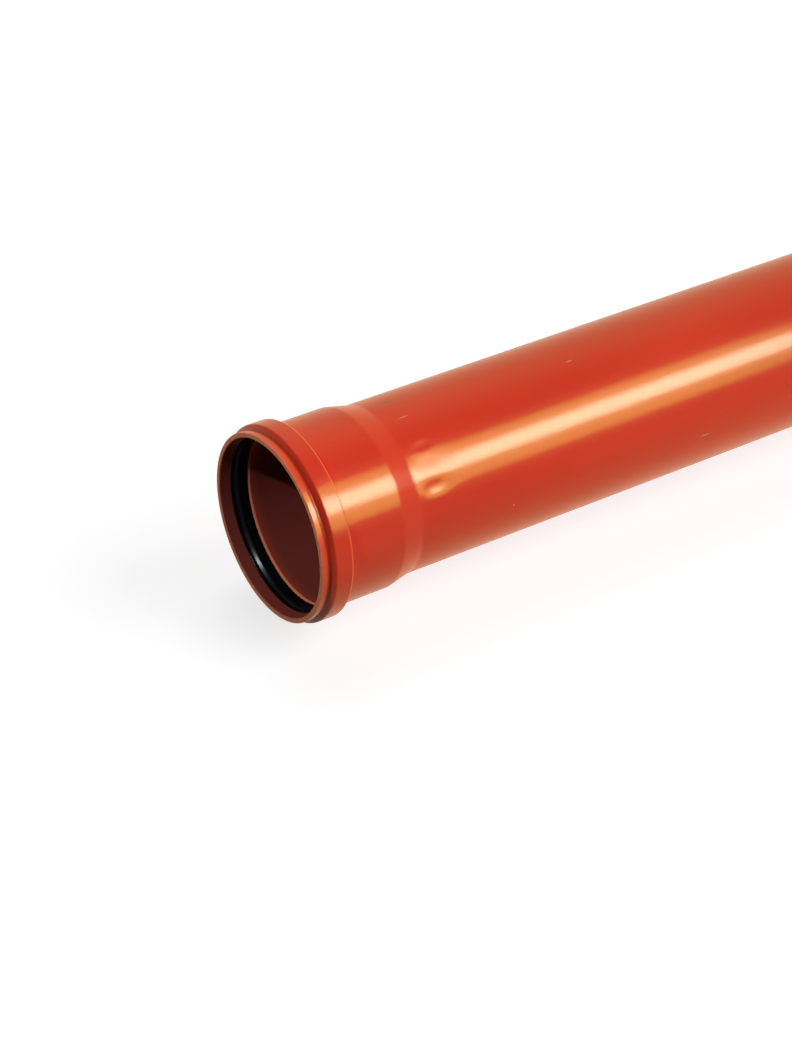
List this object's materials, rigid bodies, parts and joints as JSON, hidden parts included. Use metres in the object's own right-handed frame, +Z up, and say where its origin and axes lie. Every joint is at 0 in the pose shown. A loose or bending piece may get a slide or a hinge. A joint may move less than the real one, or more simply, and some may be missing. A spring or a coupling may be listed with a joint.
{
  "type": "sewer pipe",
  "caption": "Push-fit plastic sewer pipe: a plain barrel with a chamfered spigot at one end and a formed socket holding a rubber sealing ring at the other.",
  "frame": {"origin": "middle of the footprint of the lying pipe, on the floor", "axes": "+X along the pipe from the socket towards the spigot, +Z up; the pipe's axis dips half a degree towards the spigot, because the bead holds the socket's end up"},
  "size_m": [1.0608, 0.1264, 0.1267],
  "materials": {
    "pipe_plastic": "satin",
    "seal_rubber": "satin"
  },
  "bodies": {
    "root": {"pipe": "pipe_plastic", "sealing_ring": "seal_rubber"}
  },
  "joints": []
}
